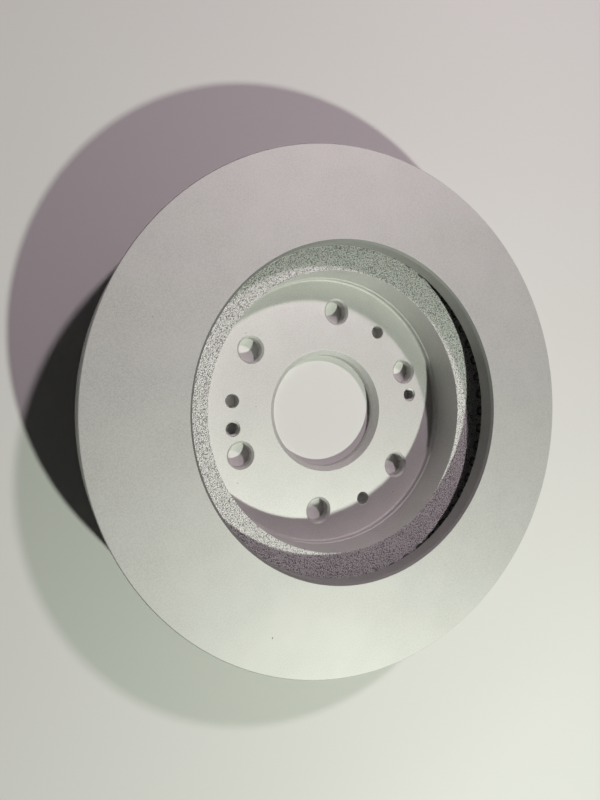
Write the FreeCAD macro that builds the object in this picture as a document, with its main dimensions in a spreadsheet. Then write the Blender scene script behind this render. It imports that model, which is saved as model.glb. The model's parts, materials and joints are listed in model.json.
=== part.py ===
"""Vented brake disc: a hat, two friction plates and the vanes between them, cast in one piece.

Lengths are millimetres and angles degrees. The origin is the centre of the wheel face, the flat
end of the hat that the disc lies on. +Z runs along the axis to the inboard friction face, and +X
runs through the middle of a stud hole.
"""
import FreeCAD, Part
import math
import os
import Sketcher

# Driving dimensions: name, value, what it measures
DIMENSIONS = (
    ("disc_diameter", 330.0, "outside diameter of both friction plates"),
    ("disc_thickness", 30.0, "over the two friction faces"),
    ("outboard_plate", 9.65, "outboard friction plate, from its face to the vents"),
    ("inboard_plate", 10.8, "inboard friction plate, from its face to the vents"),
    ("friction_bore", 215.4, "inner diameter of the friction faces"),
    ("plate_chamfer", 1.5, "chamfer at the inner edge of the inboard friction face"),
    ("edge_break", 0.5, "chamfer on the rim's edges and at the wheel end of the bore"),
    ("overall_height", 55.5, "from the wheel face to the inboard friction face"),
    ("hub_plate", 9.0, "thickness of the hat's end, between the wheel face and the hub face"),
    ("register_diameter", 182.5, "narrow turned seat beside the hub face"),
    ("register_height", 3.8, "height of that seat above the hub face"),
    ("register_step", 0.75, "step at 45 degrees from the seat out to the hat's wall"),
    ("register_chamfer", 0.9, "flat at 45 degrees between the hub face and the seat"),
    ("wall_draft", 0.5, "how far the hat's inner wall opens up to its mouth"),
    ("hat_wall", 7.2, "thickness of the hat's wall at its mouth"),
    ("outer_draft", 1.6, "how far the hat's outer wall leans in down to the wheel face"),
    ("hat_edge_chamfer", 2.5, "chamfer around the wheel face"),
    ("relief_depth", 1.5, "turned relief between the hat and the outboard friction face"),
    ("neck_chamfer", 2.0, "slope in that relief, where the hat's wall grows out of it"),
    ("bore_diameter", 78.5, "centre bore"),
    ("bore_chamfer", 3.2, "chamfer at the hub end of the centre bore"),
    ("vane_count", 56, "vanes around the disc"),
    ("vane_setback", 5.6, "from the inboard plate's inner edge out to the vanes"),
    ("vane_inset", 2.5, "from the rim in to the vanes"),
    ("vane_inner_width", 3.8, "width of a vane at its inner end"),
    ("vane_outer_width", 5.6, "width of a vane at its outer end"),
    ("vane_corner", 1.3, "cut corners of a vane's ends"),
    ("vane_phase", 1.05, "angle of the first vane"),
    ("hole_circle", 139.7, "pitch circle of all holes in the hub plate"),
    ("stud_count", 6, "stud holes"),
    ("stud_hole", 16.2, "diameter of a stud hole"),
    ("stud_chamfer", 1.35, "chamfer of a stud hole at the hub face"),
    ("plain_count", 3, "plain small holes"),
    ("plain_hole", 9.0, "diameter of a plain small hole"),
    ("plain_chamfer", 0.3, "chamfer of a plain small hole at the hub face"),
    ("plain_phase", 30.0, "angle of the first plain small hole"),
    ("tapped_count", 2, "tapped holes that jack the disc off its hub"),
    ("tapped_hole", 8.5, "core diameter of a tapped hole"),
    ("tapped_chamfer", 0.9, "countersink of a tapped hole at the hub face"),
    ("tapped_phase", -15.0, "angle of the first tapped hole"),
)
VALUES = {name: value for name, value, note in DIMENSIONS}

FULL_TURN = 360.0
COUNTERSINK_ANGLE = 90.0
# How near an edge's height must be to a face's to lie on it
ON_FACE = 0.01


class Size:
    """A length that knows its value and the sheet formula which gives it."""

    def __init__(self, value, formula):
        self.value = value
        self.formula = formula

    def _joined(self, other, value, sign):
        formula = other.formula if isinstance(other, Size) else str(other)
        return Size(value, "(%s %s %s)" % (self.formula, sign, formula))

    def __add__(self, other):
        return self._joined(other, self.value + plain_number(other), "+")

    def __sub__(self, other):
        return self._joined(other, self.value - plain_number(other), "-")

    def __truediv__(self, other):
        return self._joined(other, self.value / plain_number(other), "/")


def plain_number(value):
    return value.value if isinstance(value, Size) else value


def size(name):
    return Size(VALUES[name], "size." + name)


# Radii and heights that several features share
DISC_RADIUS = size("disc_diameter") / 2
FRICTION_RADIUS = size("friction_bore") / 2
BORE_RADIUS = size("bore_diameter") / 2
REGISTER_RADIUS = size("register_diameter") / 2
HAT_RADIUS = REGISTER_RADIUS + size("register_step")
MOUTH_RADIUS = HAT_RADIUS + size("wall_draft")
OUTER_RADIUS = MOUTH_RADIUS + size("hat_wall")
PLATE_INNER_RADIUS = FRICTION_RADIUS - size("plate_chamfer")
HUB_FACE = size("hub_plate")
TOP_FACE = size("overall_height")
OUTBOARD_FACE = TOP_FACE - size("disc_thickness")
RELIEF_FLOOR = OUTBOARD_FACE + size("relief_depth")
VENT_FLOOR = OUTBOARD_FACE + size("outboard_plate")
VENT_ROOF = TOP_FACE - size("inboard_plate")


def fill_sheet(document):
    """Write the driving dimensions into a sheet, one row each."""
    sheet = document.addObject("Spreadsheet::Sheet", "size")
    for row, (name, value, note) in enumerate(DIMENSIONS, 1):
        sheet.set("A%d" % row, name)
        sheet.set("B%d" % row, str(value))
        sheet.set("C%d" % row, note)
        sheet.setAlias("B%d" % row, name)
    document.recompute()


def origin_feature(body, role):
    return next(part for part in body.Origin.OriginFeatures if part.Role == role)


def new_sketch(body, name, plane, height=None, turn=None):
    """A sketch on one of the body's origin planes, lifted along its normal and turned about it."""
    sketch = body.newObject("Sketcher::SketchObject", name)
    sketch.AttachmentSupport = [(origin_feature(body, plane), "")]
    sketch.MapMode = "FlatFace"
    if height:
        sketch.setExpression("AttachmentOffset.Base.z", height.formula)
    if turn:
        sketch.setExpression("AttachmentOffset.Rotation.Angle", turn.formula)
    return sketch


def bind(sketch, constraint, length):
    """Add a dimension to a sketch and tie it to the sheet."""
    index = sketch.addConstraint(constraint)
    sketch.setExpression("Constraints[%d]" % index, length.formula)


def place_point(sketch, edge, end, across, up):
    """Hold a point of a sketch at its distances from the sketch's origin; None puts it on the axis."""
    bind(sketch, Sketcher.Constraint("DistanceX", -1, 1, edge, end, across.value), across)
    if up is None:
        sketch.addConstraint(Sketcher.Constraint("PointOnObject", edge, end, -1))
    else:
        bind(sketch, Sketcher.Constraint("DistanceY", -1, 1, edge, end, up.value), up)


def closed_lines(sketch, points):
    """Join points to a closed loop of lines, each starting at its own point."""
    points = [FreeCAD.Vector(across, up, 0.0) for across, up in points]
    following = points[1:] + points[:1]
    edges = sketch.addGeometry([Part.LineSegment(a, b) for a, b in zip(points, following)])
    for edge, after in zip(edges, edges[1:] + edges[:1]):
        sketch.addConstraint(Sketcher.Constraint("Coincident", edge, 2, after, 1))
    return edges


def outline(sketch, corners):
    """Draw a closed outline through corners given as (radius, height)."""
    edges = closed_lines(sketch, [(across.value, up.value if up else 0.0) for across, up in corners])
    for edge, (across, up) in zip(edges, corners):
        place_point(sketch, edge, 1, across, up)


def revolve(body, name, sketch):
    """Turn a section once around the disc's axis."""
    feature = body.newObject("PartDesign::Revolution", name)
    feature.Profile = sketch
    feature.ReferenceAxis = (sketch, ["V_Axis"])
    feature.Angle = FULL_TURN
    return feature


def around_axis(body, name, feature, count):
    """Repeat a feature evenly around the disc's axis."""
    body.Document.recompute()
    pattern = body.newObject("PartDesign::PolarPattern", name)
    pattern.Originals = [feature]
    pattern.Axis = (origin_feature(body, "Z_Axis"), [""])
    pattern.Angle = FULL_TURN
    pattern.setExpression("Occurrences", count.formula)
    body.Tip = pattern
    body.Document.recompute()
    return pattern


def add_hat_and_outboard_plate(body):
    """The hat with its hub plate, and the outboard plate that grows out of the hat's mouth."""
    edge_break = size("edge_break")
    foot_radius = OUTER_RADIUS - size("outer_draft")
    foot_chamfer = size("hat_edge_chamfer")
    neck = size("neck_chamfer")
    seat_chamfer = size("register_chamfer")
    section = new_sketch(body, "hat_section", "XZ_Plane")
    outline(section, (
        (BORE_RADIUS + edge_break, None),
        (foot_radius - foot_chamfer, None),
        (foot_radius, foot_chamfer),
        (OUTER_RADIUS, RELIEF_FLOOR - neck),
        (OUTER_RADIUS + neck, RELIEF_FLOOR),
        (FRICTION_RADIUS - size("relief_depth"), RELIEF_FLOOR),
        (FRICTION_RADIUS, OUTBOARD_FACE),
        (DISC_RADIUS - edge_break, OUTBOARD_FACE),
        (DISC_RADIUS, OUTBOARD_FACE + edge_break),
        (DISC_RADIUS, VENT_FLOOR),
        (MOUTH_RADIUS, VENT_FLOOR),
        (HAT_RADIUS, HUB_FACE + size("register_height") + size("register_step")),
        (REGISTER_RADIUS, HUB_FACE + size("register_height")),
        (REGISTER_RADIUS, HUB_FACE + seat_chamfer),
        (REGISTER_RADIUS - seat_chamfer, HUB_FACE),
        (BORE_RADIUS + size("bore_chamfer"), HUB_FACE),
        (BORE_RADIUS, HUB_FACE - size("bore_chamfer")),
        (BORE_RADIUS, edge_break),
    ))
    revolve(body, "hat_and_outboard_plate", section)


def draw_vane(sketch):
    """A vane seen along the disc's axis: it widens outward, and its four corners are cut."""
    corner = size("vane_corner")
    inner_end = PLATE_INNER_RADIUS + size("vane_setback")
    outer_end = DISC_RADIUS - size("vane_inset")
    inner_side = size("vane_inner_width") / 2
    outer_side = size("vane_outer_width") / 2
    upper = (
        (inner_end, inner_side - corner),
        (inner_end + corner, inner_side),
        (outer_end - corner, outer_side),
        (outer_end, outer_side - corner),
    )
    points = [(across.value, up.value) for across, up in upper]
    mirrored = [(across, -up) for across, up in reversed(points)]
    edges = closed_lines(sketch, points + mirrored)
    for edge, opposite, (across, up) in zip(edges, reversed(edges), upper):
        place_point(sketch, edge, 1, across, up)
        sketch.addConstraint(Sketcher.Constraint("Symmetric", edge, 1, opposite, 1, -1))


def add_vanes(body):
    """Vanes that stand on the outboard plate and carry the inboard one."""
    sketch = new_sketch(body, "vane_outline", "XY_Plane", VENT_FLOOR, size("vane_phase"))
    draw_vane(sketch)
    vane = body.newObject("PartDesign::Pad", "vane")
    vane.Profile = sketch
    vane.setExpression("Length", (VENT_ROOF - VENT_FLOOR).formula)
    around_axis(body, "vanes", vane, size("vane_count"))


def add_inboard_plate(body):
    """The ring that lies on the vanes, open over the hat."""
    edge_break = size("edge_break")
    section = new_sketch(body, "inboard_section", "XZ_Plane")
    outline(section, (
        (PLATE_INNER_RADIUS, VENT_ROOF),
        (DISC_RADIUS, VENT_ROOF),
        (DISC_RADIUS, TOP_FACE - edge_break),
        (DISC_RADIUS - edge_break, TOP_FACE),
        (FRICTION_RADIUS, TOP_FACE),
        (PLATE_INNER_RADIUS, TOP_FACE - size("plate_chamfer")),
    ))
    body.Tip = revolve(body, "inboard_plate", section)
    body.Document.recompute()


def drill(body, kind, turn=None):
    """A ring of equal holes through the hub plate, each chamfered at the hub face."""
    sketch = new_sketch(body, kind + "_place", "XY_Plane", HUB_FACE, turn)
    centre = size("hole_circle") / 2
    radius = size(kind + "_hole") / 2
    middle = FreeCAD.Vector(centre.value, 0.0, 0.0)
    circle = sketch.addGeometry(Part.Circle(middle, FreeCAD.Vector(0.0, 0.0, 1.0), radius.value))
    place_point(sketch, circle, 3, centre, None)
    bind(sketch, Sketcher.Constraint("Radius", circle, radius.value), radius)
    body.Document.recompute()
    hole = body.newObject("PartDesign::Hole", kind + "_drilling")
    hole.Profile = sketch
    hole.DepthType = "ThroughAll"
    hole.HoleCutType = "Countersink"
    hole.HoleCutCountersinkAngle = COUNTERSINK_ANGLE
    hole.setExpression("Diameter", size(kind + "_hole").formula)
    mouth = size(kind + "_hole") + size(kind + "_chamfer") + size(kind + "_chamfer")
    hole.setExpression("HoleCutDiameter", mouth.formula)
    around_axis(body, kind + "_holes", hole, size(kind + "_count"))


def deburr_wheel_face(body):
    """Break the edges of all drilled holes at the wheel face."""
    drilled = body.Tip
    names = []
    for number, edge in enumerate(drilled.Shape.Edges, 1):
        if not isinstance(edge.Curve, Part.Circle):
            continue
        centre = edge.Curve.Center
        if abs(centre.z) < ON_FACE and math.hypot(centre.x, centre.y) > BORE_RADIUS.value:
            names.append("Edge%d" % number)
    feature = body.newObject("PartDesign::Chamfer", "wheel_face_chamfers")
    feature.Base = (drilled, names)
    feature.setExpression("Size", size("edge_break").formula)
    body.Tip = feature
    body.Document.recompute()


def make_disc(document):
    """The whole disc as one body."""
    body = document.addObject("PartDesign::Body", "brake_disc")
    body.Label = "brake_disc"
    body.Placement = FreeCAD.Placement()
    add_hat_and_outboard_plate(body)
    drill(body, "stud")
    drill(body, "plain", size("plain_phase"))
    drill(body, "tapped", size("tapped_phase"))
    deburr_wheel_face(body)
    add_vanes(body)
    add_inboard_plate(body)
    return body


def check(document, bodies):
    """Stop before anything is written if a feature failed or a shape is unsound."""
    document.recompute()
    for item in document.Objects:
        if "Invalid" in item.State or "Error" in item.State:
            raise RuntimeError("%s failed: %s" % (item.Name, item.State))
    for body in bodies:
        if body.Shape.isNull() or not body.Shape.isValid():
            raise RuntimeError("%s has no sound shape" % body.Label)
        if len(body.Shape.Solids) != 1:
            raise RuntimeError("%s is in %d pieces" % (body.Label, len(body.Shape.Solids)))


def main():
    document = FreeCAD.newDocument("brake_disc")
    fill_sheet(document)
    bodies = [make_disc(document)]
    check(document, bodies)
    os.makedirs("parts", exist_ok=True)
    for body in bodies:
        body.Shape.exportStep("parts/%s.step" % body.Label)


main()
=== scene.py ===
"""Vented brake disc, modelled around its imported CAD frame.

The file is laid out as a Blender add-on and is run as a script. One operator makes the hat with
the outboard plate, one the vanes, one the inboard plate and one the stage.
"""

import json
import math

import bmesh
import bpy
from mathutils import Euler, Matrix, Vector, noise


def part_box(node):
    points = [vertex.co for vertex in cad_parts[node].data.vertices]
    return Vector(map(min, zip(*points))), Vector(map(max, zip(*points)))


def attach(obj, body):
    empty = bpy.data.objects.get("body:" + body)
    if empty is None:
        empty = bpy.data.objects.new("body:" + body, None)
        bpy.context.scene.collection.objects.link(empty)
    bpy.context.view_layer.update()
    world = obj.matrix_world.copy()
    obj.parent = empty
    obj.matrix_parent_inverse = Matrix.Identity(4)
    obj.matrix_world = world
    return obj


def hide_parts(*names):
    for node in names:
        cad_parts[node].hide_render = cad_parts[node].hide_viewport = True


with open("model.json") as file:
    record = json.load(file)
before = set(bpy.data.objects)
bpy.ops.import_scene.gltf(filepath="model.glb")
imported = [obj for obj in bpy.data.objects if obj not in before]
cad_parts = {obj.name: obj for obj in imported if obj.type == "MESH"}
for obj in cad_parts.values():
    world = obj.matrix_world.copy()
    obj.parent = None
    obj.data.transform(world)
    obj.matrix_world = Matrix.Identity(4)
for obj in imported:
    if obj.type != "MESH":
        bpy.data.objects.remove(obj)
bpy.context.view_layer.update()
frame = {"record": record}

bl_info = {
    "name": "Vented brake disc",
    "version": (1, 0, 0),
    "blender": (4, 5, 0),
    "location": "3D View > Sidebar > Brake disc",
    "description": "Models a vented brake disc: hat, vanes, plates, tapped holes and silver coat",
    "category": "Object",
}

MM = 0.001
BODY = "root"
NODE = "brake_disc"
MOUNTS = {mount["name"]: mount for mount in frame["record"]["mounts"]}
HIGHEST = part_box(NODE)[1]

FULL_TURN = 2 * math.pi
CENTRE = Vector((0.0, 0.0))
# Facets round a turned surface, round a hole, and round the rough ring
TURNED_FACETS = 240
HOLE_FACETS = 60
GRAIN_FACETS = 1440
CORNER_SEGMENTS = 3
# A full turn is spun as one of these and copied, which is faster
SECTORS = 12
# Two points nearer than this are one point
NEAR = 1e-6
SMOOTH_UP_TO = math.radians(32)
# Without a seed of its own, Blender's noise starts from the clock and the grain is never the same
GRAIN_SEED = 7

# Shares of a coat's colour where it is thin and thick, and how much the slow clouds show
THIN_COAT, THICK_COAT, CLOUD_SHARE = 0.80, 1.08, 0.25
CLOUD_SIZE = 22 * MM
SPECK_SIZE = 2.6 * MM
# The noise above the first value is speck, and fully so above the second
SPECK_FROM, SPECK_FULL = 0.92, 0.93

FLOOR_RADIUS, FLOOR_FACETS = 6.0, 128
# Distances between which the floor takes the backdrop's colour
FLOOR_NEAR, FLOOR_FAR = 0.35, 1.2
# Heights of a look's direction between which the wall fades, and the gloss's lift
WALL_FROM, WALL_TO, GLOSS_LIFT = 0.42, 0.70, 0.28
FRONT_LAMP = {"place": (0.034, -0.747, 0.848), "size": 0.05, "power": 10.8}
BACK_LAMP = {"place": (0.550, 0.455, 0.893), "size": 0.09, "power": 6.0}
CAMERA_PLACE = (-0.15679, 0.08388, 0.35637)
CAMERA_TURN = (-0.720, -24.214, -24.176)
CAMERA_LENS, CAMERA_SENSOR, CAMERA_NEAR = 25.009, 36.0, 0.01

TURNED, HAT, OPENING, CHAMFER, AS_CAST, IN_VENTS, GRAINED = range(7)


def length(name, description, millimetres):
    """A size that a user may change, given here in millimetres."""
    return bpy.props.FloatProperty(
        name=name, description=description, default=millimetres * MM,
        min=0.0, precision=5, subtype="DISTANCE", unit="LENGTH")


def tint(name, description, red, green, blue):
    """A colour that a user may change."""
    return bpy.props.FloatVectorProperty(
        name=name, description=description, default=(red, green, blue),
        min=0.0, max=1.0, size=3, subtype="COLOR")


class HatSizes(bpy.types.PropertyGroup):
    """The hat: its hub plate, seat, wall and foot."""

    bore: length("Bore", "Radius of the hub bore", MOUNTS["centre_bore"]["dims"]["r_mm"])
    bore_chamfer: length("Bore chamfer", "Chamfer of the bore at the hub face", 3.2)
    hub_plate: length("Hub plate", "Thickness of the plate that is bolted on", 9.0)
    seat: length("Seat", "Radius of the seat at the hat wall's foot", 91.25)
    seat_height: length("Seat height", "Height of the seat above the hub face", 3.8)
    seat_chamfer: length("Seat chamfer", "Chamfer between the hub face and the seat", 0.9)
    seat_step: length("Seat step", "Step from the seat out to the wall", 0.75)
    mouth: length("Mouth", "Inside radius of the hat at the vent floor", 92.5)
    outer_foot: length("Outer foot", "Outside radius of the hat at the wheel face", 98.1)
    outer_neck: length("Outer neck", "Outside radius of the hat at its neck", 99.7)
    foot_chamfer: length("Foot chamfer", "Chamfer round the wheel face", 2.5)
    neck_chamfer: length("Neck chamfer", "Chamfer from the hat's outside to the plate", 2.0)
    edge_break: length("Edge break", "Small chamfer on turned edges", 0.5)


class HoleSizes(bpy.types.PropertyGroup):
    """The holes through the hub plate."""

    circle: length("Hole circle", "Radius of the circle that all holes lie on",
                   MOUNTS["stud_holes"]["dims"]["pcd_mm"] / 2)
    stud: length("Stud hole", "Radius of a stud hole", MOUNTS["stud_holes"]["dims"]["hole_r_mm"])
    stud_chamfer: length("Stud hole chamfer", "Chamfer of a stud hole at the hub face", 1.35)
    plain: length("Plain hole", "Radius of a small plain hole",
                  MOUNTS["plain_holes"]["dims"]["hole_r_mm"])
    plain_chamfer: length("Plain hole chamfer", "Chamfer of a plain hole at the hub face", 0.3)
    tapped: length("Tapped hole", "Radius inside the thread of a tapped hole",
                   MOUNTS["jacking_hole_front"]["dims"]["r_mm"])
    tapped_chamfer: length("Tapped hole chamfer", "Chamfer of a tapped hole at the hub face", 0.9)
    pitch: length("Thread pitch", "Pitch of the thread in the tapped holes", 1.5)
    thread_depth: length("Thread depth", "Depth of the thread from its inside", 0.75)
    plain_turn: bpy.props.FloatProperty(
        name="Plain holes turned", description="Angle from a stud hole to the first plain hole",
        default=math.radians(30.0), subtype="ANGLE")
    tapped_turn: bpy.props.FloatProperty(
        name="Tapped holes turned", description="Angle from a stud hole to the first tapped hole",
        default=math.radians(-15.0), subtype="ANGLE")


class PlateSizes(bpy.types.PropertyGroup):
    """The two friction plates and the rough land between them and the hat."""

    rim: bpy.props.FloatProperty(
        name="Rim", description="Outside radius of the disc", default=HIGHEST.x,
        precision=5, subtype="DISTANCE", unit="LENGTH")
    top: bpy.props.FloatProperty(
        name="Top", description="Height of the inboard friction face", default=HIGHEST.z,
        precision=5, subtype="DISTANCE", unit="LENGTH")
    disc: length("Disc thickness", "Distance between the friction faces", 30.0)
    outboard: length("Outboard plate", "Thickness of the outboard friction plate", 9.65)
    inboard: length("Inboard plate", "Thickness of the inboard friction plate", 10.8)
    friction: length("Friction face", "Inside radius of both friction faces", 107.7)
    inner_chamfer: length("Inner chamfer", "Chamfer at the inboard plate's opening", 1.5)
    relief: length("Relief", "Depth of the groove beside the outboard friction face", 1.5)
    grain_height: length("Grain height", "Height of the cast grain on the land", 0.50)
    grain_size: length("Grain size", "Width of one grain of the cast skin", 0.95)
    grain_coarse: length("Grain coarse", "Radius where the grain's mesh becomes coarser", 109.0)
    grain_end: length("Grain end", "Radius where the modelled grain fades out", 116.5)


class VaneSizes(bpy.types.PropertyGroup):
    """The vanes that join the two plates."""

    count: bpy.props.IntProperty(
        name="Vanes", description="Number of vanes", default=56, min=3)
    turn: bpy.props.FloatProperty(
        name="Vanes turned", description="Angle from a stud hole to the first vane",
        default=math.radians(1.05), subtype="ANGLE")
    inner_end: length("Inner end", "Radius of a vane's inner end", 111.8)
    outer_inset: length("Outer inset", "Distance from a vane's outer end to the rim", 2.5)
    inner_width: length("Inner width", "Width of a vane at its inner end", 3.8)
    outer_width: length("Outer width", "Width of a vane at its outer end", 5.6)
    corner: length("Corner", "Rounding of a vane's ends", 1.6)
    root: length("Root", "Rounding between a vane and the plates", 1.3)
    sunk: length("Sunk", "How far a vane reaches into each plate", 0.5)


class Finish(bpy.types.PropertyGroup):
    """Colours of the coat, the stage and the lamps."""

    coat: tint("Coat", "Colour of the silver coat on the friction faces", 0.50, 0.497, 0.484)
    hat_coat: tint("Hat coat", "Colour of the coat on the hat", 0.63, 0.626, 0.612)
    land_coat: tint("Land coat", "Colour of the coat on the grained land", 0.82, 0.816, 0.80)
    # Painted shade: the opening's wall carries the same coat as the faces, darkened here for the
    # grazing light on it
    wall_coat_with_painted_shade: tint("Wall coat", "Colour of the coat on the opening's wall", 0.35, 0.348, 0.338)
    # Painted shade: the chamfer carries the same coat, darkened here because it turns away from
    # the lamps' gloss
    edge_coat_with_painted_shade: tint("Edge coat", "Colour of the coat on the opening's chamfer", 0.26, 0.26, 0.248)
    # Partly a thin coat on cast iron, partly painted shade deep inside the vents
    vent_coat_and_painted_shade: tint("Vent coat", "Colour of the thin coat inside the vents", 0.12, 0.12, 0.115)
    # Painted shade: the colour put in the hollows and gaps of the grain, where shade falls
    pit: tint("Pit", "Colour of the coat deep in the grain of the land", 0.17, 0.17, 0.165)
    speck: tint("Speck", "Colour of small specks of dirt", 0.10, 0.10, 0.10)
    floor: tint("Floor", "Colour of the floor", 0.62, 0.616, 0.604)
    backdrop: tint("Backdrop", "Colour of the far floor and of the wall behind it",
                   0.56, 0.555, 0.545)
    dim: tint("Dim", "Light of the room beside the lamps", 0.03, 0.03, 0.03)
    lamp_front: tint("Front lamp", "Light of the lamp in front", 0.93, 1.0, 0.87)
    lamp_back: tint("Back lamp", "Light of the lamp behind", 1.0, 0.84, 0.92)


def heights(plates, hat):
    """The heights of the vent floor and roof, the two friction faces and the relief's floor."""
    outboard = plates.top - plates.disc
    return {
        "hub": hat.hub_plate,
        "outboard": outboard,
        "relief": outboard + plates.relief,
        "floor": outboard + plates.outboard,
        "roof": plates.top - plates.inboard,
    }


def draw_section(bm, corners):
    """A closed outline in the XZ plane, given as (radius, height, rounding of the corner)."""
    points = [bm.verts.new((radius, 0.0, height)) for radius, height, _ in corners]
    bm.faces.new(points)
    for rounding in sorted({corner[2] for corner in corners if corner[2]}):
        chosen = [point for point, corner in zip(points, corners) if corner[2] == rounding]
        bmesh.ops.bevel(
            bm, geom=chosen, offset=rounding, offset_type="OFFSET", segments=CORNER_SEGMENTS,
            profile=0.5, affect="VERTICES", material=-1)
    bmesh.ops.delete(bm, geom=bm.faces[:], context="FACES_ONLY")


def open_flat(bm, height):
    """Take the long level edge at one height out of a section, so that its face can be filled."""
    level = [edge for edge in bm.edges if all(abs(v.co.z - height) < NEAR for v in edge.verts)]
    bm.edges.remove(max(level, key=lambda edge: edge.calc_length()))


def draw_line(bm, points):
    """An open line in the XZ plane through points given as (distance along X, height)."""
    verts = [bm.verts.new((across, 0.0, height)) for across, height in points]
    return [bm.edges.new(pair) for pair in zip(verts, verts[1:])]


def turn_round(bm, facets):
    """Spin all that a bmesh holds once round the upright axis: one sector, and then its copies."""
    sector = FULL_TURN / SECTORS
    bmesh.ops.spin(
        bm, geom=bm.verts[:] + bm.edges[:], cent=(0.0, 0.0, 0.0), axis=(0.0, 0.0, 1.0),
        angle=sector, steps=facets // SECTORS, use_merge=False, use_duplicate=False)
    copy_round(bm, SECTORS)
    bmesh.ops.remove_doubles(bm, verts=bm.verts[:], dist=NEAR)


def copy_round(bm, count):
    """Repeat all that a bmesh holds, evenly round the upright axis."""
    bmesh.ops.spin(
        bm, geom=bm.verts[:] + bm.edges[:] + bm.faces[:], cent=(0.0, 0.0, 0.0),
        axis=(0.0, 0.0, 1.0), angle=FULL_TURN * (count - 1) / count, steps=count - 1,
        use_merge=False, use_duplicate=True)


def add_shape(bm, other, centre):
    """Move the whole of another bmesh into this one, to a centre in plan."""
    bmesh.ops.translate(other, verts=other.verts[:], vec=(centre.x, centre.y, 0.0))
    mesh = bpy.data.meshes.new("moved")
    other.to_mesh(mesh)
    other.free()
    bm.from_mesh(mesh)
    bpy.data.meshes.remove(mesh)


def open_edges(bm, height):
    """The open edges at one height."""
    return [edge for edge in bm.edges
            if edge.is_boundary and all(abs(v.co.z - height) < NEAR for v in edge.verts)]


def fill_level(bm, edges):
    """Close a level face between closed lines of edges, one of them outside the others."""
    bmesh.ops.triangle_fill(bm, use_beauty=False, edges=edges, normal=(0.0, 0.0, 1.0))


def cut_hole(bm, centre, radius, top, chamfer, edge_break):
    """The wall of one plain hole with its chamfer at the hub face."""
    hole = bmesh.new()
    draw_line(hole, (
        (radius + edge_break, 0.0),
        (radius, edge_break),
        (radius, top - chamfer),
        (radius + chamfer, top),
    ))
    turn_round(hole, HOLE_FACETS)
    add_shape(bm, hole, centre)


def cut_thread(bm, centre, holes, top, edge_break):
    """The wall of one tapped hole: a true helical thread that runs out in the chamfers."""
    core, depth, pitch = holes.tapped, holes.thread_depth, holes.pitch
    turns = math.ceil(top / pitch) + 2
    crest, flank = pitch / 4, pitch * 5 / 16
    points = []
    for number in range(turns):
        base = (number - 1) * pitch
        points += [
            (core, base),
            (core, base + crest),
            (core + depth, base + crest + flank),
            (core + depth, base + pitch - flank),
        ]
    points.append((core, (turns - 1) * pitch))
    thread = bmesh.new()
    bmesh.ops.subdivide_edges(thread, edges=draw_line(thread, points), cuts=1)
    bmesh.ops.spin(
        thread, geom=thread.verts[:] + thread.edges[:], cent=(0.0, 0.0, 0.0),
        axis=(0.0, 0.0, 1.0), dvec=(0.0, 0.0, pitch / HOLE_FACETS), angle=FULL_TURN,
        steps=HOLE_FACETS, use_merge=False, use_duplicate=False)
    bmesh.ops.remove_doubles(thread, verts=thread.verts[:], dist=NEAR)
    for vert in thread.verts:
        wanted = max(core + holes.tapped_chamfer - (top - vert.co.z),
                     core + edge_break - vert.co.z)
        radius = vert.co.xy.length
        if radius < wanted:
            vert.co.xy *= wanted / radius
    for height, outward in ((top, 1.0), (0.0, -1.0)):
        bmesh.ops.bisect_plane(
            thread, geom=thread.verts[:] + thread.edges[:] + thread.faces[:], dist=NEAR / 10,
            plane_co=(0.0, 0.0, height), plane_no=(0.0, 0.0, outward), clear_outer=True)
    add_shape(bm, thread, centre)


def place_on_circle(radius, angle):
    """A point on the hole circle."""
    return Vector((radius * math.cos(angle), radius * math.sin(angle)))


def raise_grain(bm, plates, start, floor):
    """The rough cast land: a fine ring whose points are moved into rounded, close-set grains."""
    ring = bmesh.new()
    stops = (start, plates.grain_coarse, plates.grain_end)
    steps = (0.45 * MM, 0.7 * MM)
    fade = 2 * MM
    # Counted in grains: how often and how far outlines bend, and how wide the slow waves are
    bend_rate, bend_reach, wave_rate = 0.9, 0.35, 0.3
    wave_start = Vector((7.0, 3.0, 0.0))
    # Shares of the grain's height by which the land's middle is lifted and the waves rise
    lift, wave_share = 0.22, 0.12
    lines = draw_line(ring, [(stop, floor) for stop in stops])
    for line, step in zip(lines, steps):
        bmesh.ops.subdivide_edges(ring, edges=[line], cuts=round(line.calc_length() / step))
    turn_round(ring, GRAIN_FACETS)
    noise.seed_set(GRAIN_SEED)
    for vert in ring.verts:
        radius = vert.co.xy.length
        share = min(1.0, max(0.0, (plates.grain_end - radius) / fade))
        position = Vector((vert.co.x, vert.co.y, 0.0)) / plates.grain_size
        bend = noise.noise_vector(position * bend_rate) * bend_reach
        near = noise.voronoi(position + Vector((bend.x, bend.y, 0.0)))[0][0]
        wave = noise.noise(position * wave_rate + wave_start)
        vert.co.z += share * plates.grain_height * (lift - near * near + wave_share * wave)
    add_shape(bm, ring, CENTRE)


def close_and_paint(bm, skin):
    """Merge, turn the faces outwards, check that the shape is closed and give faces their skin."""
    bmesh.ops.remove_doubles(bm, verts=bm.verts[:], dist=NEAR)
    bmesh.ops.recalc_face_normals(bm, faces=bm.faces[:])
    open_ones = sum(1 for edge in bm.edges if not edge.is_manifold)
    if open_ones:
        raise RuntimeError("%d edges are not closed" % open_ones)
    for face in bm.faces:
        middle = face.calc_center_median()
        face.smooth = True
        face.material_index = skin(middle.xy.length, middle.z)


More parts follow.
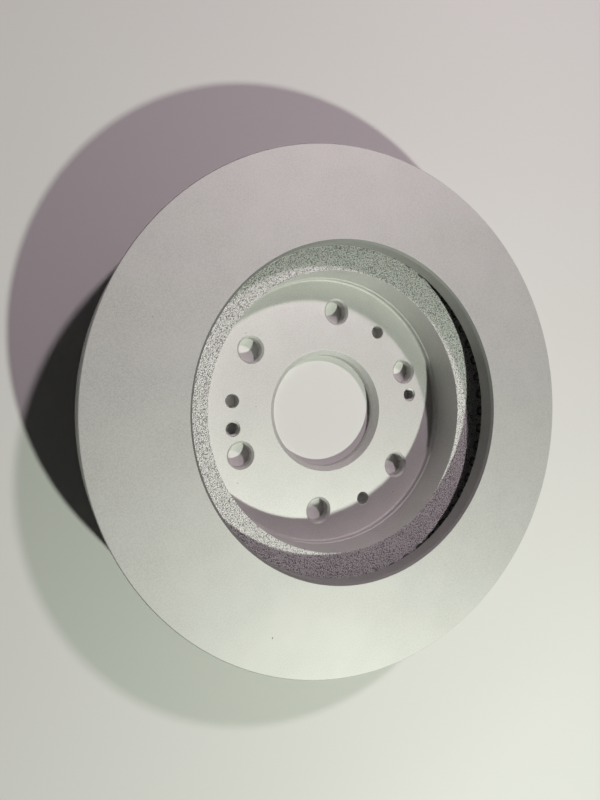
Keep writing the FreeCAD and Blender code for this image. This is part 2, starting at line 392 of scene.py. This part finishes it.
def make_piece(context, name, bm, materials):
    """A finished piece that rides on the disc's body and stands for its CAD node."""
    mesh = bpy.data.meshes.new(name)
    bm.to_mesh(mesh)
    bm.free()
    mesh.set_sharp_from_angle(angle=SMOOTH_UP_TO)
    piece = bpy.data.objects.new(name, mesh)
    context.scene.collection.objects.link(piece)
    for material in materials:
        mesh.materials.append(material)
    shading = piece.modifiers.new("flat_faces_stay_flat", "WEIGHTED_NORMAL")
    shading.keep_sharp = True
    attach(piece, BODY)
    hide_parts(NODE)
    return piece


class NodeSheet:
    """The nodes of a material or a world, added and joined by name."""

    def __init__(self, owner):
        owner.use_nodes = True
        self.tree = owner.node_tree
        self.shader = self.tree.nodes.get("Principled BSDF")

    def add(self, kind, **inputs):
        """One node, with values or links for its inputs."""
        node = self.tree.nodes.new(kind)
        for name, value in inputs.items():
            self.feed(node, name.replace("_", " "), value)
        return node

    def feed(self, node, name, value):
        """Give one input a value, or join it to another node's output."""
        socket = node.inputs[name]
        if isinstance(value, bpy.types.NodeSocket):
            self.tree.links.new(value, socket)
        else:
            socket.default_value = value

    def noise(self, place, size, detail=2.0, roughness=0.5):
        """Noise whose lumps are about as wide as size."""
        return self.add("ShaderNodeTexNoise", Vector=place, Scale=1.0 / size, Detail=detail,
                        Roughness=roughness).outputs["Fac"]

    def cells(self, place, size):
        """Distance from the middle of the nearest cell, in cells about as wide as size."""
        return self.add("ShaderNodeTexVoronoi", Vector=place, Scale=1.0 / size).outputs["Distance"]

    def spread(self, value, low, high, to_low=0.0, to_high=1.0):
        """Stretch a range of values to another."""
        node = self.add("ShaderNodeMapRange", Value=value, From_Min=low, From_Max=high,
                        To_Min=to_low, To_Max=to_high)
        return node.outputs["Result"]

    def reckon(self, operation, first, second):
        """The result of a sum on two numbers."""
        node = self.tree.nodes.new("ShaderNodeMath")
        node.operation = operation
        self.tree.links.new(first, node.inputs[0])
        self.tree.links.new(second, node.inputs[1])
        return node.outputs["Value"]

    def looked_at(self):
        """One where the camera, gloss or clear matter looks, and nought where only light falls."""
        path = self.add("ShaderNodeLightPath").outputs
        share = self.reckon("MAXIMUM", path["Is Camera Ray"], path["Is Glossy Ray"])
        return self.reckon("MAXIMUM", share, path["Is Transmission Ray"])

    def blend(self, share, first, second):
        """Mix two colours."""
        node = self.tree.nodes.new("ShaderNodeMix")
        node.data_type = "RGBA"
        sockets = [node.inputs[number] for number in (0, 6, 7)]
        for socket, value in zip(sockets, (share, first, second)):
            if isinstance(value, bpy.types.NodeSocket):
                self.tree.links.new(value, socket)
            elif isinstance(value, float):
                socket.default_value = value
            else:
                socket.default_value = (*value, 1.0)
        return node.outputs[2]


def coat_material(name, finish, coat, metallic, grain, grain_depth, pit, pit_depth, land=None):
    """The silver coat over turned or cast iron; on a land at a given height, painted shade darkens
    its sunk hollows and the gaps between its grains.
    """
    material = bpy.data.materials.new(name)
    sheet = NodeSheet(material)
    place = sheet.add("ShaderNodeTexCoord").outputs["Object"]
    fine = sheet.noise(place, grain, 3.0, 0.65)
    clouds = sheet.noise(place, CLOUD_SIZE, 2.0)
    pits = sheet.noise(place, pit, 3.0, 0.6)
    low = [value * THIN_COAT for value in coat]
    high = [min(1.0, value * THICK_COAT) for value in coat]
    shade = sheet.blend(sheet.spread(fine, 0.38, 0.60), low, coat)
    cloudy_tone_and_pit_shade = sheet.blend(sheet.spread(clouds, 0.3, 0.7, 0.0, CLOUD_SHARE), shade, high)
    specks = sheet.spread(sheet.noise(place, SPECK_SIZE, 0.0), SPECK_FROM, SPECK_FULL)
    if land is not None:
        # Painted shade: darker where the grain sinks below the land and in the gaps between grains
        height = sheet.add("ShaderNodeSeparateXYZ", Vector=place).outputs["Z"]
        sunk = sheet.spread(height, land - 0.10 * MM, land - 0.50 * MM, 0.0, 0.8)
        cells = sheet.cells(place, pit)
        gap_shade_mask = sheet.spread(cells, 0.52, 0.74, 0.0, 0.8)
        cloudy_tone_and_pit_shade = sheet.blend(sunk, sheet.blend(gap_shade_mask, cloudy_tone_and_pit_shade, finish.pit), finish.pit)
        pits = sheet.spread(cells, 0.1, 0.8, 1.0, 0.0)
    colour = sheet.blend(specks, cloudy_tone_and_pit_shade, finish.speck)
    sheet.feed(sheet.shader, "Base Color", colour)
    sheet.feed(sheet.shader, "Roughness", sheet.spread(fine, 0.3, 0.7, 0.61, 0.71))
    sheet.shader.inputs["Metallic"].default_value = metallic
    rough = sheet.add("ShaderNodeBump", Height=pits, Distance=pit_depth, Strength=1.0)
    close = sheet.add("ShaderNodeBump", Height=fine, Distance=grain_depth, Strength=1.0,
                      Normal=rough.outputs["Normal"])
    sheet.feed(sheet.shader, "Normal", close.outputs["Normal"])
    return material


def coat_materials(context):
    """The coat as each kind of surface carries it, made once and in the order of the skins."""
    finish = context.scene.disc_finish
    land = heights(context.scene.disc_plates, context.scene.disc_hat)["floor"]
    # Width and depth of the fine grain, width and depth of the pits, and the land's height
    turned = (0.7 * MM, 0.03 * MM, 3 * MM, 0.01 * MM, None)
    cast = (0.8 * MM, 0.25 * MM, 1.6 * MM, 0.30 * MM, None)
    grained = (0.4 * MM, 0.12 * MM, 0.75 * MM, 0.42 * MM, land)
    looks = (
        ("coat_on_friction_iron", finish.coat, 0.6, *turned),
        ("coat_on_hat", finish.hat_coat, 0.85, *turned),
        # The opening's wall and chamfer take darker colours, which are painted shade on the same
        # coat
        ("coat_in_opening", finish.wall_coat_with_painted_shade, 0.3, *turned),
        ("coat_on_chamfer", finish.edge_coat_with_painted_shade, 0.9, *turned),
        ("coat_on_cast_skin", finish.hat_coat, 0.5, *cast),
        ("coat_in_vents", finish.vent_coat_and_painted_shade, 0.3, *cast),
        ("coat_on_grained_land", finish.land_coat, 0.5, *grained),
    )
    if looks[0][0] not in bpy.data.materials:
        for name, *look in looks:
            coat_material(name, finish, *look)
    return [bpy.data.materials[look[0]] for look in looks]


class BRAKE_DISC_OT_add_hat(bpy.types.Operator):
    """Make the hat with its holes, and the outboard plate that grows out of it."""

    bl_idname = "brake_disc.add_hat"
    bl_label = "Hat and outboard plate"

    def execute(self, context):
        """Spin the section, cut the holes, fill the flat faces and raise the cast grain."""
        hat, holes = context.scene.disc_hat, context.scene.disc_holes
        plates = context.scene.disc_plates
        level = heights(plates, hat)
        hub, floor, brk = level["hub"], level["floor"], hat.edge_break
        seat_top = hub + hat.seat_height
        fine, soft, cast = 0.15 * MM, 0.35 * MM, 0.9 * MM
        bm = bmesh.new()
        draw_section(bm, (
            (hat.bore + brk, 0.0, fine),
            (hat.outer_foot - hat.foot_chamfer, 0.0, cast),
            (hat.outer_foot, hat.foot_chamfer, cast),
            (hat.outer_neck, level["relief"] - hat.neck_chamfer, cast),
            (hat.outer_neck + hat.neck_chamfer, level["relief"], cast),
            (plates.friction - plates.relief, level["relief"], soft),
            (plates.friction, level["outboard"], fine),
            (plates.rim - brk, level["outboard"], fine),
            (plates.rim, level["outboard"] + brk, fine),
            (plates.rim, floor, cast),
            (hat.mouth, floor, soft),
            (hat.seat + hat.seat_step, seat_top + hat.seat_step, fine),
            (hat.seat, seat_top, fine),
            (hat.seat, hub + hat.seat_chamfer, fine),
            (hat.seat - hat.seat_chamfer, hub, fine),
            (hat.bore + hat.bore_chamfer, hub, fine),
            (hat.bore, hub - hat.bore_chamfer, fine),
            (hat.bore, brk, fine),
        ))
        for height in (0.0, hub, floor):
            open_flat(bm, height)
        turn_round(bm, TURNED_FACETS)
        for number in range(MOUNTS["stud_holes"]["dims"]["count"]):
            angle = number * FULL_TURN / MOUNTS["stud_holes"]["dims"]["count"]
            cut_hole(bm, place_on_circle(holes.circle, angle), holes.stud, hub,
                     holes.stud_chamfer, brk)
        for number in range(MOUNTS["plain_holes"]["dims"]["count"]):
            angle = holes.plain_turn + number * FULL_TURN / MOUNTS["plain_holes"]["dims"]["count"]
            cut_hole(bm, place_on_circle(holes.circle, angle), holes.plain, hub,
                     holes.plain_chamfer, brk)
        for angle in (holes.tapped_turn, holes.tapped_turn + FULL_TURN / 2):
            cut_thread(bm, place_on_circle(holes.circle, angle), holes, hub, brk)
        fill_level(bm, open_edges(bm, 0.0))
        fill_level(bm, open_edges(bm, hub))
        wall = [edge for edge in open_edges(bm, floor)
                if all(v.co.xy.length < hat.mouth + MM for v in edge.verts)]
        raise_grain(bm, plates, hat.mouth + 2 * soft, floor)
        inner = [edge for edge in bm.edges if edge.is_boundary and edge not in wall
                 and all(v.co.xy.length < hat.mouth + 3 * soft for v in edge.verts)]
        fill_level(bm, wall + inner)
        fill_level(bm, open_edges(bm, floor))

        def skin(radius, height):
            """The skin of a face, from where its middle lies."""
            if radius < hat.mouth + 0.1 * MM:
                return HAT
            if height > floor - MM and radius < plates.rim - MM:
                return GRAINED if radius < plates.grain_end else IN_VENTS
            if height < level["relief"] - MM and radius < hat.outer_neck + hat.neck_chamfer:
                return AS_CAST if height > hat.foot_chamfer else HAT
            return TURNED

        close_and_paint(bm, skin)
        make_piece(context, "hat_and_outboard_plate", bm, coat_materials(context))
        return {"FINISHED"}


class BRAKE_DISC_OT_add_vanes(bpy.types.Operator):
    """Make the vanes that join the two plates."""

    bl_idname = "brake_disc.add_vanes"
    bl_label = "Vanes"

    def execute(self, context):
        """Build one vane from outlines that flare at both roots, and copy it round the axis."""
        vanes, plates = context.scene.disc_vanes, context.scene.disc_plates
        level = heights(plates, context.scene.disc_hat)
        flare_steps = 4
        steps = [number * math.pi / 2 / flare_steps for number in range(flare_steps + 1)]
        flare = [(vanes.root * (1 - math.sin(turn)), vanes.root * (1 - math.cos(turn)))
                 for turn in steps]
        low = [(wide, level["floor"] + up) for wide, up in flare]
        high = [(wide, level["roof"] - up) for wide, up in reversed(flare)]
        outlines = [(vanes.root, level["floor"] - vanes.sunk)] + low + high
        outlines.append((vanes.root, level["roof"] + vanes.sunk))
        bm = bmesh.new()
        loops = []
        for wide, height in outlines:
            inner, outer = vanes.inner_end - wide, plates.rim - vanes.outer_inset
            near, far = vanes.inner_width / 2 + wide, vanes.outer_width / 2 + wide
            outer = min(outer + wide, plates.rim - MM)
            corners = [bm.verts.new((x, y, height)) for x, y in (
                (inner, -near), (outer, -far), (outer, far), (inner, near))]
            bm.faces.new(corners)
            bmesh.ops.bevel(
                bm, geom=corners, offset=vanes.corner + wide / 2, offset_type="OFFSET", segments=4,
                profile=0.5, affect="VERTICES", material=-1)
            outline = max(bm.faces, key=lambda face: face.calc_center_median().z)
            loops.append(outline.edges[:])
            if height not in (outlines[0][1], outlines[-1][1]):
                bmesh.ops.delete(bm, geom=[outline], context="FACES_ONLY")
        for below, above in zip(loops, loops[1:]):
            bmesh.ops.bridge_loops(bm, edges=below + above)
        bmesh.ops.rotate(bm, verts=bm.verts[:], cent=(0.0, 0.0, 0.0),
                         matrix=Matrix.Rotation(vanes.turn, 3, "Z"))
        copy_round(bm, vanes.count)
        close_and_paint(bm, lambda radius, height: IN_VENTS)
        make_piece(context, "vent_vanes", bm, coat_materials(context))
        return {"FINISHED"}


class BRAKE_DISC_OT_add_inboard_plate(bpy.types.Operator):
    """Make the inboard plate, a ring that is open over the hat."""

    bl_idname = "brake_disc.add_inboard_plate"
    bl_label = "Inboard plate"

    def execute(self, context):
        """Spin the plate's section."""
        plates, hat = context.scene.disc_plates, context.scene.disc_hat
        roof = heights(plates, hat)["roof"]
        opening = plates.friction - plates.inner_chamfer
        fine, cast = 0.15 * MM, 0.7 * MM
        bm = bmesh.new()
        draw_section(bm, (
            (opening, roof, fine),
            (plates.rim, roof, cast),
            (plates.rim, plates.top - hat.edge_break, fine),
            (plates.rim - hat.edge_break, plates.top, fine),
            (plates.friction, plates.top, fine),
            (opening, plates.top - plates.inner_chamfer, fine),
        ))
        turn_round(bm, TURNED_FACETS)
        turned_down = plates.top - plates.inner_chamfer
        close_and_paint(bm, lambda radius, height: (
            IN_VENTS if height < roof + 0.1 * MM and opening + MM < radius < plates.rim - MM
            else CHAMFER if height > turned_down and opening < radius < plates.friction
            else OPENING if radius < plates.friction
            else TURNED))
        make_piece(context, "inboard_plate", bm, coat_materials(context))
        return {"FINISHED"}


def floor_material(finish):
    """The pale floor, which takes the backdrop's colour far away, where the lamps don't reach."""
    material = bpy.data.materials.new("pale_floor")
    sheet = NodeSheet(material)
    place = sheet.add("ShaderNodeTexCoord").outputs["Object"]
    cloud = sheet.spread(sheet.noise(place, 0.4, 2.0), 0.3, 0.7)
    pale = sheet.blend(cloud, finish.floor, [value * 0.98 for value in finish.floor])
    sheet.feed(sheet.shader, "Base Color", pale)
    sheet.shader.inputs["Roughness"].default_value = 0.9
    sheet.shader.inputs["Specular IOR Level"].default_value = 0.1
    distance = sheet.tree.nodes.new("ShaderNodeVectorMath")
    distance.operation = "LENGTH"
    sheet.feed(distance, "Vector", place)
    far = sheet.spread(distance.outputs["Value"], FLOOR_NEAR, FLOOR_FAR)
    glow = sheet.add("ShaderNodeEmission", Color=(*finish.backdrop, 1.0))
    mixed = sheet.add("ShaderNodeMixShader", Fac=sheet.reckon("MULTIPLY", far, sheet.looked_at()))
    sheet.tree.links.new(sheet.shader.outputs["BSDF"], mixed.inputs[1])
    sheet.tree.links.new(glow.outputs["Emission"], mixed.inputs[2])
    sheet.feed(sheet.tree.nodes["Material Output"], "Surface", mixed.outputs["Shader"])
    return material


def studio_world(finish):
    """A pale wall round the floor, lower in the gloss of the coat, under a dim ceiling."""
    world = bpy.data.worlds.new("studio")
    sheet = NodeSheet(world)
    way = sheet.add("ShaderNodeTexCoord").outputs["Generated"]
    height = sheet.add("ShaderNodeSeparateXYZ", Vector=way).outputs["Z"]
    gloss = sheet.add("ShaderNodeLightPath").outputs["Is Glossy Ray"]
    risen = sheet.reckon("ADD", height, sheet.spread(gloss, 0.0, 1.0, 0.0, GLOSS_LIFT))
    wall = sheet.blend(sheet.spread(risen, WALL_FROM, WALL_TO), finish.backdrop, finish.dim)
    colour = sheet.blend(sheet.looked_at(), finish.dim, wall)
    sheet.feed(sheet.tree.nodes["Background"], "Color", colour)
    return world


def add_lamp(context, name, place, size, power, colour):
    """A round soft lamp that looks at the disc."""
    light = bpy.data.lights.new(name, "AREA")
    light.shape = "DISK"
    light.size = size
    light.energy = power
    light.color = colour
    lamp = bpy.data.objects.new(name, light)
    context.scene.collection.objects.link(lamp)
    lamp.visible_camera = False
    lamp.location = place
    lamp.rotation_euler = Vector(place).to_track_quat("Z", "Y").to_euler()


class BRAKE_DISC_OT_add_stage(bpy.types.Operator):
    """Make the floor, the light and the camera."""

    bl_idname = "brake_disc.add_stage"
    bl_label = "Stage"

    def execute(self, context):
        """Lay the floor, hang two soft lamps, light the world and set the camera."""
        finish = context.scene.disc_finish
        bm = bmesh.new()
        bmesh.ops.create_circle(
            bm, cap_ends=True, radius=FLOOR_RADIUS, segments=FLOOR_FACETS)
        mesh = bpy.data.meshes.new("floor")
        bm.to_mesh(mesh)
        bm.free()
        floor = bpy.data.objects.new("floor", mesh)
        context.scene.collection.objects.link(floor)
        mesh.materials.append(floor_material(finish))
        add_lamp(context, "front_lamp", colour=finish.lamp_front, **FRONT_LAMP)
        add_lamp(context, "back_lamp", colour=finish.lamp_back, **BACK_LAMP)
        context.scene.world = studio_world(finish)
        view = bpy.data.cameras.new("camera")
        view.sensor_width = CAMERA_SENSOR
        view.lens = CAMERA_LENS
        view.clip_start = CAMERA_NEAR
        camera = bpy.data.objects.new("camera", view)
        context.scene.collection.objects.link(camera)
        camera.location = CAMERA_PLACE
        camera.rotation_euler = Euler([math.radians(turn) for turn in CAMERA_TURN])
        context.scene.camera = camera
        context.scene.view_settings.view_transform = "Standard"
        return {"FINISHED"}


class BRAKE_DISC_PT_panel(bpy.types.Panel):
    """The disc's sizes, colours and steps."""

    bl_idname = "BRAKE_DISC_PT_panel"
    bl_label = "Brake disc"
    bl_space_type = "VIEW_3D"
    bl_region_type = "UI"
    bl_category = "Brake disc"

    def draw(self, context):
        """List every size and colour, then the operators."""
        for title, name, _ in GROUPS:
            box = self.layout.box()
            box.label(text=title)
            group = getattr(context.scene, name)
            for value in group.bl_rna.properties.keys():
                if value not in ("rna_type", "name"):
                    box.prop(group, value)
        for operator in OPERATORS:
            self.layout.operator(operator.bl_idname)


GROUPS = (
    ("Hat", "disc_hat", HatSizes),
    ("Holes", "disc_holes", HoleSizes),
    ("Plates", "disc_plates", PlateSizes),
    ("Vanes", "disc_vanes", VaneSizes),
    ("Finish", "disc_finish", Finish),
)
OPERATORS = (
    BRAKE_DISC_OT_add_hat,
    BRAKE_DISC_OT_add_vanes,
    BRAKE_DISC_OT_add_inboard_plate,
    BRAKE_DISC_OT_add_stage,
)


def register():
    """Tell Blender about the groups, the operators and the panel."""
    for _, name, group in GROUPS:
        bpy.utils.register_class(group)
        setattr(bpy.types.Scene, name, bpy.props.PointerProperty(type=group))
    for operator in OPERATORS:
        bpy.utils.register_class(operator)
    bpy.utils.register_class(BRAKE_DISC_PT_panel)


def unregister():
    """Take them out again."""
    bpy.utils.unregister_class(BRAKE_DISC_PT_panel)
    for operator in reversed(OPERATORS):
        bpy.utils.unregister_class(operator)
    for _, name, group in reversed(GROUPS):
        delattr(bpy.types.Scene, name)
        bpy.utils.unregister_class(group)


def main():
    """Register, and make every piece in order."""
    register()
    bpy.ops.brake_disc.add_hat()
    bpy.ops.brake_disc.add_vanes()
    bpy.ops.brake_disc.add_inboard_plate()
    bpy.ops.brake_disc.add_stage()


if __name__ == "__main__":
    main()
